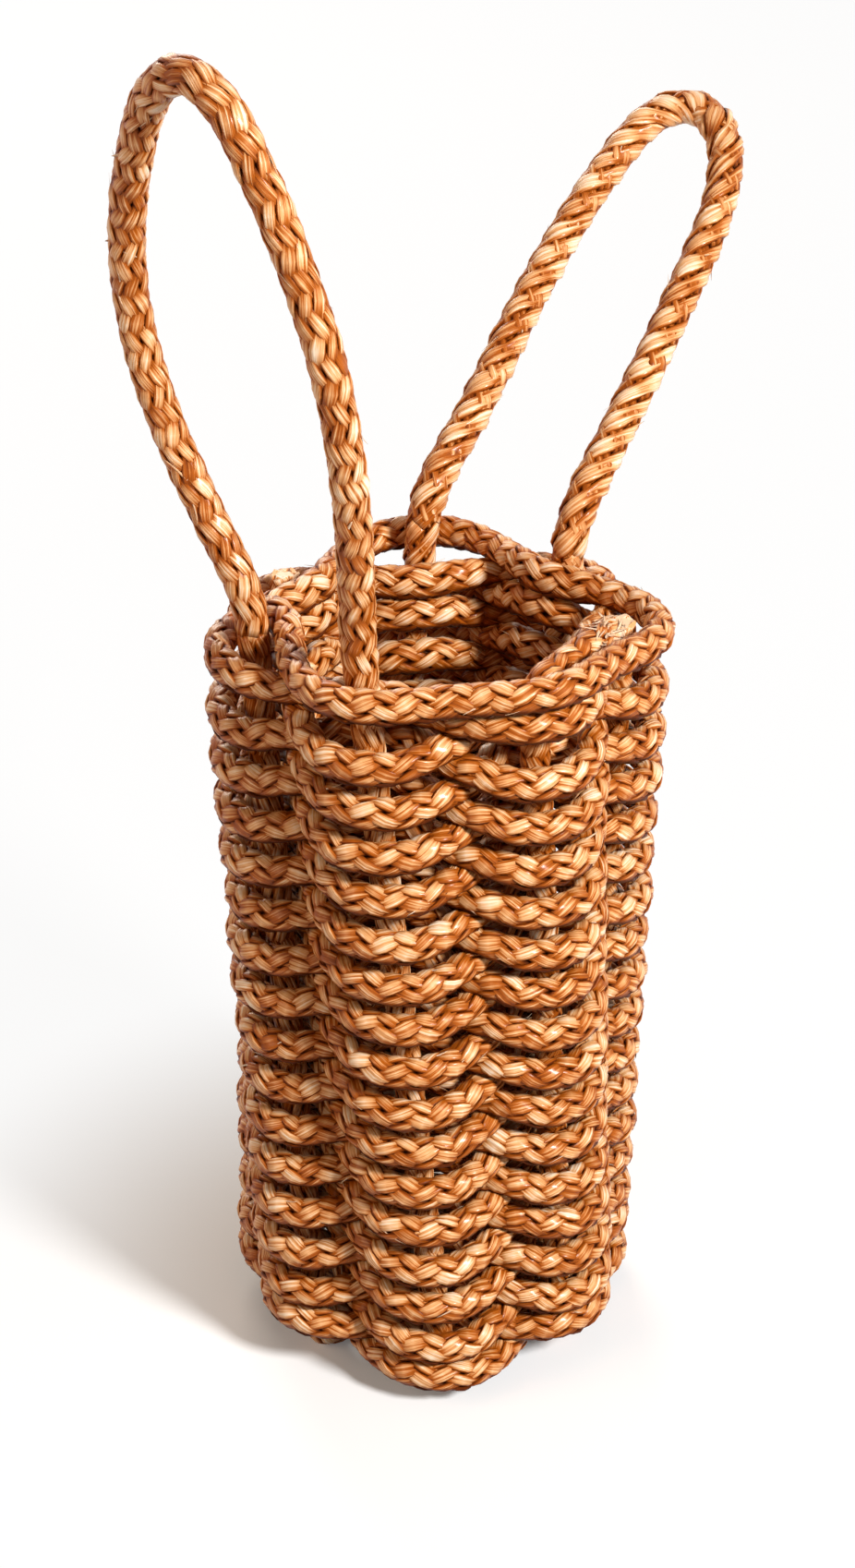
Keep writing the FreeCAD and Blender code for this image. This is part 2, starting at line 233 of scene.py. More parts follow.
@dataclass(frozen=True)
class RopeFinish:
    """A natural-fibre rope: the colours of its strands, their grain, their waxy sheen, and painted shade
    where they lie deep.
    """

    name: str
    slot: Slot
    # Painted shade: the colour of the crevices between strands and of the heart.
    painted_crevice_shade: Colour = (0.050, 0.008, 0.001, 1.0)
    dark: Colour = (0.17, 0.028, 0.002, 1.0)
    middle: Colour = (0.43, 0.100, 0.007, 1.0)
    light: Colour = (0.80, 0.410, 0.165, 1.0)
    pale: Colour = (1.0, 0.800, 0.600, 1.0)
    gloss: Colour = (1.0, 0.66, 0.40, 1.0)
    shade_stops: tuple[float, float, float, float] = (0.0, 0.34, 0.56, 0.78)
    tone_weight: float = 0.28
    fibre_weight: float = 0.95
    stain_weight: float = 0.25
    painted_shade_weight: float = 1.25
    shade_drop: float = 0.16
    painted_shade_reach: tuple[float, float] = (0.14, 0.74)
    grain: Place = (0.55, 11.0, 1.0)
    grain_layers: float = 4.0
    grain_strength: float = 0.6
    grain_depth: float = 0.5 * MM
    stain: Place = (0.22, 0.5, 1.0)
    stain_layers: float = 2.0
    layer_share: float = 0.6
    wax: float = 0.34
    wax_reach: tuple[float, float] = (0.05, 0.38)
    wax_roughness: float = 0.19
    smooth: float = 0.32
    rough_span: float = 0.22
    specular: float = 0.1

    @functools.cache
    def material(self) -> bpy.types.Material:
        """Make the material, the first time that it is asked for.

        Returns:
            The finished material.
        """
        made = bpy.data.materials.new(self.name)
        graph = Graph(made)
        strand = graph.add("ShaderNodeUVMap", {"uv_map": STRAND_MAP})
        fibres = self._noise(graph, strand, self.grain, self.grain_layers)
        stains = self._noise(graph, strand, self.stain, self.stain_layers)
        tone = graph.add("ShaderNodeAttribute", {"attribute_name": "tone"}, output="Fac")
        depth = graph.add("ShaderNodeAttribute", {"attribute_name": "depth"}, output="Fac")

        # Painted shade and painted highlight: the deeper a strand lies, the darker its colour, so its crown
        # is pale and its edges dark. Tone, grain and stains are the rope's own.
        shade = tone * self.tone_weight + fibres * self.fibre_weight + stains * self.stain_weight
        shade = shade - depth * self.painted_shade_weight - self.shade_drop
        stops = zip(self.shade_stops, (self.dark, self.middle, self.light, self.pale))
        fibre_colour = graph.add("ShaderNodeValToRGB", {"stops": stops}, {"Fac": shade}, "Color")
        # Painted shade: where a strand lies deep, and all over the heart, the colour goes to the crevice
        # colour.
        painted_shade_share = graph.fade(depth, self.painted_shade_reach)
        colour = graph.mix(painted_shade_share, fibre_colour, self.painted_crevice_shade)
        coat = graph.fade(depth, self.wax_reach, (self.wax, 0.0), Fade.STRAIGHT)
        bump = graph.add("ShaderNodeBump", {}, {
            "Strength": self.grain_strength, "Distance": self.grain_depth, "Height": fibres,
        })
        surface = graph.add("ShaderNodeBsdfPrincipled", {}, {
            "Base Color": colour,
            "Roughness": self.smooth + fibres * self.rough_span,
            "Normal": bump,
            "Specular IOR Level": self.specular,
            "Specular Tint": self.gloss,
            "Coat Weight": coat,
            "Coat Roughness": self.wax_roughness,
        })
        graph.add("ShaderNodeOutputMaterial", {}, {"Surface": surface})
        return made

    def _noise(self, graph: Graph, strand: Signal, stretch: Place, layers: float) -> Signal:
        """Noise that is drawn out along the strands.

        Args:
            graph: The material's graph.
            strand: The strand's own map: centimetres along it, and turns around it.
            stretch: How often the noise changes along and around the strand.
            layers: How many finer layers it has.

        Returns:
            The noise, from 0 to 1.
        """
        spread = graph.add("ShaderNodeVectorMath", {"operation": "MULTIPLY"}, {0: strand, 1: stretch})
        return graph.add("ShaderNodeTexNoise", {"noise_dimensions": "2D"}, {
            "Vector": spread, "Scale": 1.0, "Detail": layers, "Roughness": self.layer_share,
        })

    def dress(self, piece: bpy.types.Object, *nodes: str) -> None:
        """Give a piece its material and say which nodes it stands for.

        Args:
            piece: The piece.
            nodes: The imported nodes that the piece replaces, if any.
        """
        piece.data.materials.append(self.material())
        if nodes:
            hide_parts(*nodes)
        faces = len(piece.data.polygons)
        log.info("%s: %d faces, stands for %s", piece.name, faces, ", ".join(nodes) or "no node")


WALL_FINISH = RopeFinish("woven_wall_rope", Slot.WEAVER)
STAKE_FINISH = RopeFinish("stake_rope", Slot.STAKE)
HANDLE_FINISH = RopeFinish("handle_rope", Slot.HANDLE)


@dataclass(frozen=True)
class Plan:
    """The carrier's sizes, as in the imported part."""

    stake_count: int = 7
    ring_radius: float = 53.5
    stake_lean: float = 5.4
    first_stake_angle: float = -138.2
    rope_width: float = 9.6
    rope_sides: int = 8
    stake_bend: float = 10.5
    hub_radius: float = 12.0
    core_overreach: float = 6.0
    foot_flat_share: float = 0.1
    clearance: float = 0.3
    weaver_width: float = 9.4
    weaver_span_height: float = 10.6
    course_count: int = 32
    course_pitch: float = 7.87
    weave_base: float = 10.0
    start_passes: int = 4
    weaver_end_share: float = 0.25
    stake_flat_share: float = 0.125
    crossing_share: float = 0.375
    coil_turns: float = 2.5
    coil_gap: float = 0.5
    coil_height: float = 9.2
    tail_bend: float = 9.0
    tail_run: float = 34.0
    tail_drop: float = 2.0
    fold_angle: float = 94.0
    fold_pass: int = 2
    rim_lift: float = 3.5
    rim_bulge_share: float = 0.55
    trim_drop: float = 2.0
    handle_width: float = 11.4
    fold_clearance: float = 0.4

    @property
    def stake_step(self) -> float:
        """The angle from one stake to the next."""
        return 360.0 / self.stake_count

    @property
    def corner_share(self) -> float:
        """A rope's reach to its section's corners, as a share of its reach to the flats."""
        return 1.0 / math.cos(math.pi / self.rope_sides)

    @property
    def stake_corner(self) -> float:
        """From a stake's middle to its section's corners."""
        return self.rope_width / 2 * self.corner_share

    @property
    def spoke_height(self) -> float:
        """The height of the spokes' middles."""
        return self.rope_width * (0.5 - self.foot_flat_share)

    @property
    def reach(self) -> float:
        """From a stake's middle to the weaver's, where it passes the stake."""
        return self.stake_corner + self.clearance + self.weaver_width / 2

    @property
    def floor_level(self) -> float:
        """The height of the floor that the spokes carry."""
        return self.spoke_height + self.stake_corner + self.clearance

    @property
    def pass_rise(self) -> float:
        """How far the weaver climbs from one stake to the next."""
        return self.course_pitch / self.stake_count

    @property
    def last_pass(self) -> int:
        """The pass at the weaver's lower end."""
        return self.course_count * self.stake_count + self.start_passes - 1

    @property
    def weave_top(self) -> float:
        """The height of the weaver's first pass, at the rim."""
        return self.weave_base + self.last_pass * self.pass_rise

    @property
    def hinge_height(self) -> float:
        """The height at which the handles fold."""
        return (self.weave_top + self.weaver_span_height / 2 + self.handle_width / 2 * self.corner_share
                + self.fold_clearance)

    def leg_length(self, height: float) -> float:
        """The length of a leaning leg, from the spokes' middles up to a height."""
        return (height - self.spoke_height) / math.cos(math.radians(self.stake_lean))

    def in_stake(self, index: int, points: np.ndarray) -> np.ndarray:
        """Bring points from a stake's own frame, whose leg stands up along z, into the carrier's.

        Args:
            index: The stake's number.
            points: Points in the stake's frame.

        Returns:
            The same points in the carrier's frame.
        """
        lean = math.radians(self.stake_lean)
        turn = math.radians(self.first_stake_angle + index * self.stake_step)
        tilt = np.array([
            [1, 0, 0],
            [0, math.cos(lean), -math.sin(lean)],
            [0, math.sin(lean), math.cos(lean)],
        ])
        swing = np.array([
            [math.cos(turn), -math.sin(turn), 0],
            [math.sin(turn), math.cos(turn), 0],
            [0, 0, 1],
        ])
        return points @ (swing @ tilt).T + np.array([0, 0, self.spoke_height])

    def stake_point(self, index: np.ndarray, height: np.ndarray) -> np.ndarray:
        """The middle of the ring of stakes at a place between them.

        Args:
            index: The place, counted in stakes.
            height: The height above the ground.

        Returns:
            The points.
        """
        slip = (height - self.spoke_height) * math.tan(math.radians(self.stake_lean))
        turn = np.radians(self.first_stake_angle + index * self.stake_step)
        x = self.ring_radius * np.cos(turn) + slip * np.sin(turn)
        y = self.ring_radius * np.sin(turn) - slip * np.cos(turn)
        return np.stack([x, y, height + 0 * turn], axis=-1)

    def at_rim(self, passes: np.ndarray) -> np.ndarray:
        """Where the weaver lies on top at the rim, outside the folded stake as well."""
        return np.abs(passes - self.fold_pass) < 1

    def weaver_point(self, passes: np.ndarray) -> np.ndarray:
        """The weaver's middle, a number of passes below the rim, which inside stays above the spokes.

        Args:
            passes: The places, in passes of a stake. Even passes go inside.

        Returns:
            The points.
        """
        height = self.weave_top - passes * self.pass_rise
        from_inside = np.abs((passes + 1) % 2 - 1)
        inside = (self.crossing_share - from_inside) / (self.crossing_share - self.stake_flat_share)
        least = self.floor_level + self.weaver_span_height / 2
        height = height + np.maximum(least - height, 0) * np.clip(inside, 0, 1)
        rim = self.at_rim(passes)
        height = height + self.rim_lift * rim * (1 + np.cos(math.pi * (passes - self.fold_pass))) / 2
        middle = self.stake_point(passes, height)
        ring = np.hypot(middle[:, 0], middle[:, 1])
        bulge = self.rim_bulge_share + (1 - self.rim_bulge_share) * np.cos(math.pi * passes) ** 2
        wave = np.where(rim, bulge, -np.cos(math.pi * passes))
        side = np.sign(wave)
        flat = math.radians(self.stake_step * self.stake_flat_share)
        swing = (ring + side * self.reach) / math.cos(flat) - ring
        swing *= side / math.cos(math.pi * self.stake_flat_share)
        share = (ring + wave * swing) / ring
        return middle * np.stack([share, share, np.ones_like(share)], axis=-1)


def add_object(name: str, data: bpy.types.ID) -> bpy.types.Object:
    """Put a new object into the scene.

    Args:
        name: The object's name.
        data: Its mesh, lamp or camera.

    Returns:
        The object.
    """
    made = bpy.data.objects.new(name, data)
    bpy.context.scene.collection.objects.link(made)
    return made


def unit(vectors: np.ndarray) -> np.ndarray:
    """Vectors of the same directions, each of length one."""
    return vectors / np.maximum(np.linalg.norm(vectors, axis=-1, keepdims=True), LEAST_LENGTH)


def wander(rng: np.random.Generator, places: np.ndarray, spacing: float, spread: float) -> np.ndarray:
    """A smooth random drift.

    Args:
        rng: The source of chance.
        places: Where to read the drift, rising.
        spacing: How far apart its turning points are.
        spread: About how far it drifts each way.

    Returns:
        The drift at each place.
    """
    knots = (places - places[0]) / spacing
    drift = rng.uniform(-spread, spread, int(knots[-1]) + SPARE_DRAWS)
    before = knots.astype(int)
    ease = (1 - np.cos(math.pi * (knots - before))) / 2
    return drift[before] * (1 - ease) + drift[before + 1] * ease


def read_spline(points: np.ndarray, order: int = 3, steps: int = 24) -> np.ndarray:
    """Points along the smooth spline that a route's points control.

    Args:
        points: The route.
        order: The spline's order.
        steps: How many points to read from one control point to the next.

    Returns:
        Points along its NURBS spline.
    """
    curve = bpy.data.curves.new("route", "CURVE")
    curve.dimensions = "3D"
    curve.resolution_u = steps
    spline = curve.splines.new("NURBS")
    spline.points.add(len(points) - 1)
    for control, point in zip(spline.points, points):
        control.co = (*point, 1.0)
    spline.order_u = order
    spline.use_endpoint_u = True
    holder = bpy.data.objects.new("route", curve)
    mesh = bpy.data.meshes.new_from_object(holder)
    read = np.empty(len(mesh.vertices) * 3)
    mesh.vertices.foreach_get("co", read)
    bpy.data.objects.remove(holder)
    bpy.data.curves.remove(curve)
    bpy.data.meshes.remove(mesh)
    return read.reshape(-1, 3)


class RopeLine:
    """A rope's middle line, with the directions across and up, by length along it."""

    def __init__(self, points: np.ndarray, upward: Optional[Place] = None,
                 squeeze: Optional[np.ndarray] = None, girth: Optional[np.ndarray] = None) -> None:
        """Measure a line.

        Args:
            points: Close points along the line.
            upward: The direction that the rope's frame keeps up, or none to carry it along.
            squeeze: The rope's height at each point as a share of its plait's, or none for all of it.
            girth: The rope's thickness at each point as a share of its plait's, or none for all of it.
        """
        steps = np.linalg.norm(np.diff(points, axis=0), axis=1)
        moved = steps > SAME_PLACE
        keep = np.concatenate([[True], moved])
        self.points = points[keep]
        self.lengths = np.concatenate([[0.0], np.cumsum(steps[moved])])
        self.tangents = unit(np.gradient(self.points, self.lengths, axis=0))
        self.upward = self._carry() if upward is None else self._hold(np.array(upward))
        self.squeeze = np.ones(len(self.points)) if squeeze is None else squeeze[keep]
        self.girth = np.ones(len(self.points)) if girth is None else girth[keep]

    @property
    def length(self) -> float:
        """The line's whole length."""
        return float(self.lengths[-1])

    def _hold(self, upward: np.ndarray) -> np.ndarray:
        """The directions nearest to one upward direction, square to the line."""
        return unit(upward - self.tangents * (self.tangents @ upward)[:, None])

    def _carry(self) -> np.ndarray:
        """Directions square to the line that turn with it as little as they can.

        Returns:
            One direction for each point.
        """
        first = self.tangents[0]
        aside = np.eye(3)[int(np.argmin(np.abs(first)))]
        carried = [unit(aside - first * (first @ aside))]
        for tangent in self.tangents[1:]:
            carried.append(unit(carried[-1] - tangent * (tangent @ carried[-1])))
        return np.array(carried)

    def at(self, lengths: np.ndarray) -> tuple[np.ndarray, np.ndarray, np.ndarray, np.ndarray]:
        """Read the line.

        Args:
            lengths: Where to read it.

        Returns:
            The points there, the directions across and up, and the squeeze.
        """
        point = self._read(self.points, lengths)
        tangent = unit(self._read(self.tangents, lengths))
        upward = unit(self._read(self.upward, lengths))
        return point, np.cross(tangent, upward), upward, np.interp(lengths, self.lengths, self.squeeze)

    def girth_at(self, lengths: np.ndarray) -> np.ndarray:
        """The rope's thickness along the line, as a share of its plait's."""
        return np.interp(lengths, self.lengths, self.girth)

    def _read(self, values: np.ndarray, lengths: np.ndarray) -> np.ndarray:
        """Values between the line's points."""
        return np.stack([np.interp(lengths, self.lengths, values[:, axis]) for axis in range(3)], axis=-1)

    def length_at_height(self, height: float, rising: bool) -> float:
        """Where the line first rises to a height, or last falls to it."""
        above = np.flatnonzero(self.points[:, 2] > height)
        return float(self.lengths[above[0] if rising else above[-1]])


@dataclass
class Tube:
    """A closed tube of rings, with what its material reads."""

    rings: np.ndarray
    along: np.ndarray
    tone: np.ndarray
    # How much painted shade darkens each point.
    depth: np.ndarray
    place: float


class MeshDraft:
    """Tubes that become one mesh."""

    def __init__(self) -> None:
        """Start with no tubes."""
        self.tubes: list[Tube] = []

    def build(self, name: str) -> bpy.types.Object:
        """Make the mesh object.

        Args:
            name: The piece's name.

        Returns:
            The object, in metres and in the scene.
        """
        corners, starts, smooth, strand_map, bake_map = [], [], [], [], []
        vertex, corner, cell = 0, 0, 0
        cells = sum(len(tube.rings) - 1 for tube in self.tubes)
        sides = self.tubes[0].rings.shape[1]
        columns = max(1, math.ceil(math.sqrt(cells * sides)))
        rows = math.ceil(cells / columns)
        for tube in self.tubes:
            # Four-sided faces along the tube, and a flat cap at each end.
            count, around = tube.rings.shape[:2]
            ring = np.arange(count - 1)[:, None, None]
            side = np.arange(around)[None, :, None]
            next_ring = np.array([0, 0, 1, 1])
            next_side = np.array([0, 1, 1, 0])
            quads = vertex + (ring + next_ring) * around + (side + next_side) % around
            rim = np.arange(around)
            caps = np.array([vertex + rim[::-1], vertex + (count - 1) * around + rim])
            corners += [quads.ravel(), caps.ravel()]
            starts += [corner + 4 * np.arange(quads.size // 4), corner + quads.size + around * np.arange(2)]
            smooth += [np.ones(quads.size // 4, bool), np.zeros(2, bool)]

            # One map along and around the strand, and one that gives each ring of faces its own room.
            along = np.broadcast_to(tube.along[ring + next_ring], quads.shape)
            across = np.broadcast_to((side + next_side) / around + tube.place, quads.shape)
            strand_map += [np.stack([along, across], axis=-1).reshape(-1, 2)]
            strand_map += [np.full((caps.size, 2), tube.place)]
            column = (cell + ring) % columns + next_ring
            row = (cell + ring) // columns + (side + next_side) / around * BAKE_FILL_SHARE
            bake = np.stack(np.broadcast_arrays(column / columns, row / rows), axis=-1).reshape(-1, 2)
            bake_map += [bake, np.concatenate([bake[:around], bake[-around:]])]
            vertex += count * around
            corner += quads.size + caps.size
            cell += count - 1

        mesh = bpy.data.meshes.new(name)
        mesh.vertices.add(vertex)
        places = np.concatenate([tube.rings.reshape(-1, 3) for tube in self.tubes]) * MM
        mesh.vertices.foreach_set("co", places.astype(np.float32).ravel())
        mesh.loops.add(corner)
        mesh.loops.foreach_set("vertex_index", np.concatenate(corners).astype(np.int32))
        begins = np.concatenate(starts).astype(np.int32)
        mesh.polygons.add(len(begins))
        mesh.polygons.foreach_set("loop_start", begins)
        mesh.polygons.foreach_set("use_smooth", np.concatenate(smooth))
        for map_name, values in ((STRAND_MAP, strand_map), (BAKE_MAP, bake_map)):
            layer = mesh.uv_layers.new(name=map_name)
            layer.uv.foreach_set("vector", np.concatenate(values).astype(np.float32).ravel())
        # Each point's random tone, and its share of painted shade.
        for value_name in ("tone", "depth"):
            layer = mesh.attributes.new(value_name, "FLOAT", "POINT")
            values = np.concatenate([getattr(tube, value_name).ravel() for tube in self.tubes])
            layer.data.foreach_set("value", values.astype(np.float32))
        mesh.update(calc_edges=True)
        mesh.validate()
        return add_object(name, mesh)


@dataclass(frozen=True)
class Plait:
    """How a rope is plaited, in millimetres, and in shares of its own sizes.

    The strands that wind one way pass over and under those that wind the other way. A float
    is the stretch in which a strand lies on top. Chance lifts, widens and turns each float a
    little, and splits it along its middle.
    """

    width: float
    pitch: float = 58.0
    strands_each_way: int = 5
    strand_width: float = 5.0
    strand_depth: float = 2.0
    section: tuple[tuple[float, float], ...] = (
        (1.0, -0.1), (0.82, 0.7), (0.42, 0.97), (0.0, 1.0),
        (-0.42, 0.97), (-0.82, 0.7), (-1.0, -0.1), (0.0, -0.8),
    )
    split_corner: int = 3
    dive: float = 0.42
    right_proud: float = 0.0
    pinch: float = 0.82
    spread_share: float = 0.35
    rings_per_float: int = 6
    lift_spread: float = 0.24
    width_spread: float = 0.2
    skew_spread: float = 0.09
    split_spread: tuple[float, float] = (0.0, 0.35)
    core_width_share: float = 0.66
    rings_per_core_ring: int = 3
    # Painted shade on the rope's underside, where light from above doesn't reach, and where it fades in.
    painted_underside_shade: float = 0.0
    painted_underside_reach: tuple[float, float] = (0.2, 0.8)
    tone: float = 0.5
    strand_tone_spread: float = 0.1
    float_tone_spread: float = 0.25
    cut_tone: float = 0.8

    @property
    def float_length(self) -> float:
        """The length of rope from one float of a strand to its next."""
        return self.pitch / self.strands_each_way

    @property
    def ring_step(self) -> float:
        """The length of rope between rings."""
        return self.float_length / self.rings_per_float

    @property
    def strand_radius(self) -> float:
        """How far out a strand lies, half-way between over and under."""
        return self.width / 2 - self.strand_depth / 2 - self.dive


class Rope:
    """One plaited rope along a middle line, which is cut into pieces at its rings."""

    def __init__(self, line: RopeLine, plait: Plait, rng: np.random.Generator) -> None:
        """Plait a rope, and let chance set how each float differs.

        Args:
            line: The rope's middle line.
            plait: How it is plaited.
            rng: The source of chance.
        """
        self.line = line
        self.plait = plait
        strands = 2 * plait.strands_each_way
        floats = (strands, int(line.length / plait.float_length) + SPARE_DRAWS)
        strand_tone = rng.uniform(-plait.strand_tone_spread, plait.strand_tone_spread, (strands, 1))
        float_tone = rng.uniform(-plait.float_tone_spread, plait.float_tone_spread, floats)
        self.tone = np.clip(plait.tone + strand_tone + float_tone, 0, 1)
        self.lift = rng.uniform(-plait.lift_spread, plait.lift_spread, floats)
        self.widen = 1 + rng.uniform(-plait.width_spread, plait.width_spread, floats)
        self.skew = rng.uniform(-plait.skew_spread, plait.skew_spread, floats)
        self.split = rng.uniform(*plait.split_spread, floats)
        self.place = rng.uniform(0, STRAND_MAP_ROOM, strands)
        self.last_ring = int(line.length / plait.ring_step)

    def ring_at(self, length: float) -> int:
        """The ring nearest to a length along the rope."""
        return int(round(length / self.plait.ring_step))

    def strands(self, first: int, last: int, floor: Optional[float] = None) -> MeshDraft:
        """Draw the strands and the core between two rings.

        Args:
            first: The first ring.
            last: The last ring.
            floor: The height of the ground that presses the rope flat, if it does.

        Returns:
            The strands as tubes.
        """
        plait = self.plait
        lengths = np.arange(first, last + 1) * plait.ring_step
        cut = self._cut_ends(first, last)
        draft = MeshDraft()
        for strand in range(2 * plait.strands_each_way):
            draft.tubes.append(self._strand(strand, lengths, cut))
        core_rings = np.arange(0, len(lengths), plait.rings_per_core_ring)
        core_rings = np.unique(np.append(core_rings, len(lengths) - 1))
        draft.tubes.append(self._core(lengths[core_rings], cut[core_rings]))
        if floor is not None:
            for tube in draft.tubes:
                tube.rings[..., 2] = np.maximum(tube.rings[..., 2], floor)
        return draft

    def _cut_ends(self, first: int, last: int) -> np.ndarray:
        """Mark the rings at which the rope itself ends, which a seam doesn't.

        Args:
            first: The first ring.
            last: The last ring.

        Returns:
            One at each ring where the rope ends, and nought elsewhere.
        """
        cut = np.zeros(last - first + 1)
        cut[0] = first == 0
        cut[-1] = last == self.last_ring
        return cut

    def _strand(self, strand: int, lengths: np.ndarray, cut: np.ndarray) -> Tube:
        """Draw one strand.

        Args:
            strand: Its number. The strands that wind to the right come first.
            lengths: Where its rings lie along the rope.
            cut: One at each ring where the rope ends, and nought elsewhere.

        Returns:
            The strand as a tube, with painted shade that darkens it the deeper it lies and on its rope's
            underside, and pale where it is cut.
        """
        plait = self.plait
        point, across, upward, squeeze = self.line.at(lengths)
        girth = self.line.girth_at(lengths)
        # The strand's middle winds round the rope, and goes over and under the other strands.
        way = Way.RIGHT if strand < plait.strands_each_way else Way.LEFT
        turns = lengths / plait.pitch
        wave = way * np.cos(2 * math.pi * plait.strands_each_way * turns)
        over = (1 + wave) / 2
        number = np.floor(lengths / plait.float_length + (0.5 if way is Way.RIGHT else 0.0)).astype(int)
        home = strand / plait.strands_each_way
        angle = 2 * math.pi * (home - way * turns) + over * self.skew[strand, number]
        radius = plait.strand_radius + plait.dive * wave + way * plait.right_proud
        radius = (radius + over * self.lift[strand, number]) * girth
        outward = across * np.cos(angle)[:, None] + upward * np.sin(angle)[:, None]
        spread = 1 + np.clip(1 - squeeze, 0, 1) * plait.spread_share
        middle = point + across * (radius * np.cos(angle) * spread)[:, None]
        middle = middle + upward * (radius * np.sin(angle) * squeeze)[:, None]

        # Its section is narrower where it dives, and split along its middle.
        heading = unit(np.gradient(middle, axis=0))
        sideways = unit(np.cross(outward, heading))
        proud = np.cross(heading, sideways)
        half_width = plait.strand_width / 2 * (plait.pinch + (1 - plait.pinch) * over) * girth
        half_width = half_width * (1 + (self.widen[strand, number] - 1) * over)
        half_depth = plait.strand_depth / 2 * np.sqrt(squeeze) * girth
        section = np.array(plait.section)
        crown = np.repeat(section[None, :, 1], len(lengths), axis=0)
        crown[:, plait.split_corner] -= self.split[strand, number]
        rings = middle[:, None] + sideways[:, None] * (half_width[:, None] * section[:, 0])[..., None]
        rings = rings + proud[:, None] * (half_depth[:, None] * crown)[..., None]

        # Painted shade: it is darkened where it lies deep, and on the underside of a rope whose plait paints
        # shade there. Where it lies highest it stays pale, as a painted highlight.
        sunk = plait.width / 2 * girth[:, None] - radius[:, None] - half_depth[:, None] * crown
        depth = np.clip(sunk / (plait.strand_depth + plait.dive), 0, 1)
        height = np.sum((rings - point[:, None]) * upward[:, None], axis=-1)
        height = height / (plait.width / 2 * squeeze[:, None])
        below, fade = plait.painted_underside_reach
        depth = np.maximum(depth, plait.painted_underside_shade * np.clip(-below - height, 0, fade) / fade)
        depth = depth * (1 - cut[:, None])
        tone = self.tone[strand, number] * (1 - cut) + plait.cut_tone * cut
        return Tube(rings, lengths / CENTIMETRE, np.repeat(tone, len(section)), depth, self.place[strand])

    def _core(self, lengths: np.ndarray, cut: np.ndarray) -> Tube:
        """Draw the heart of the rope, which closes the gaps between strands.

        Args:
            lengths: Where its rings lie along the rope.
            cut: One at each ring where the rope ends, and nought elsewhere.

        Returns:
            The heart as a tube, in full painted shade along the rope and pale where it is cut.
        """
        plait = self.plait
        sides = len(plait.section)
        point, across, upward, squeeze = self.line.at(lengths)
        radius = plait.width / 2 * plait.core_width_share * self.line.girth_at(lengths)[:, None]
        angle = 2 * math.pi * np.arange(sides) / sides
        rings = point[:, None] - across[:, None] * (radius * np.cos(angle))[..., None]
        rings = rings + upward[:, None] * (radius * np.sin(angle) * squeeze[:, None])[..., None]
        depth = np.repeat(1 - cut, sides)
        return Tube(rings, lengths / CENTIMETRE, plait.cut_tone * (1 - depth), depth, 0.0)


class RopeWork:
    """A sub-assembly that is one rope: its finish, and its pieces by the node that each stands for."""

    finish: RopeFinish
    rope: Rope
    pieces: dict[str, bpy.types.Object]

    def cut_rope(self, nodes: Sequence[str], rings: Sequence[int], floor: Optional[float] = None) -> None:
        """Make the rope's pieces.

        Args:
            nodes: The node that each piece stands for.
            rings: The rings at which the pieces begin, and the one at which the last ends.
            floor: The height of the ground that presses the rope flat, if it does.
        """
        self.pieces = {}
        for node, first, last in zip(nodes, rings, rings[1:]):
            self.pieces[node] = self.rope.strands(first, last, floor).build(node + "_rope")

    def dress(self) -> None:
        """Put the pieces on the basket and give them their finish."""
        for node, piece in self.pieces.items():
            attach(piece, Body.BASKET.value)
            self.finish.dress(piece, node)


@dataclass
class Weaver(RopeWork):
    """The long rope that goes over and under the stakes, from the rim to the floor."""

    plan: Plan
    finish: RopeFinish = WALL_FINISH
    # Its plait paints shade on the undersides of the rows.
    plait: Plait = Plait(width=9.7, painted_underside_shade=0.9)
    points_per_pass: int = 40
    full_height_share: float = 1.2
    inner_height_share: float = 1.34
    crossing_height_share: float = 0.98
    sag: float = 4.5
    level_turns: int = 2
    height_drift: float = 0.6
    height_drift_passes: float = 1.3
    radius_drift: float = 0.6
    radius_drift_passes: float = 0.9

    def build(self, rng: np.random.Generator) -> None:
        """Make one piece for each course, and one for the start at the floor.

        Args:
            rng: The source of chance.
        """
        plan = self.plan
        low_end = plan.last_pass + plan.weaver_end_share
        count = int((low_end + plan.weaver_end_share) * self.points_per_pass)
        passes = np.linspace(-plan.weaver_end_share, low_end, count)
        points = plan.weaver_point(passes)
        points[:, 2] += wander(rng, passes, self.height_drift_passes, self.height_drift)
        drift = wander(rng, passes, self.radius_drift_passes, self.radius_drift)
        points[:, :2] *= 1 + (drift / np.hypot(points[:, 0], points[:, 1]))[:, None]
        rim = plan.at_rim(passes)
        at_stake = np.where(rim, 1, 1 - ((1 - np.cos(2 * math.pi * passes)) / 2) ** 2)
        inner = (np.cos(math.pi * passes) > 0) & ~rim
        # Outside the stakes the weaver hangs lower, and inside higher, but not at the rim and the floor.
        level = self.level_turns * plan.stake_count
        between = (passes > level - 0.5) & (passes < plan.last_pass - level - 0.5)
        points[:, 2] += at_stake * np.where(inner, self.sag, -self.sag) * between
        height_share = np.where(inner, self.inner_height_share, self.full_height_share)
        squeeze = self.crossing_height_share + (height_share - self.crossing_height_share) * at_stake
        self.rope = Rope(RopeLine(points, UP, squeeze), self.plait, rng)

        # Each course ends half-way between two stakes.
        turns = range(1, plan.course_count + 1)
        nodes = ["weave_course_%02d" % turn for turn in turns] + ["weave_start"]
        ends = np.interp([turn * plan.stake_count - 0.5 for turn in turns], passes, self.rope.line.lengths)
        rings = [0, *map(self.rope.ring_at, ends), self.rope.last_ring]
        self.cut_rope(nodes, rings)

    def fibre_room(self) -> tuple[Rope, int, int]:
        """The rope, and the first and last ring that loose fibres may stand on."""
        return self.rope, 0, self.rope.last_ring


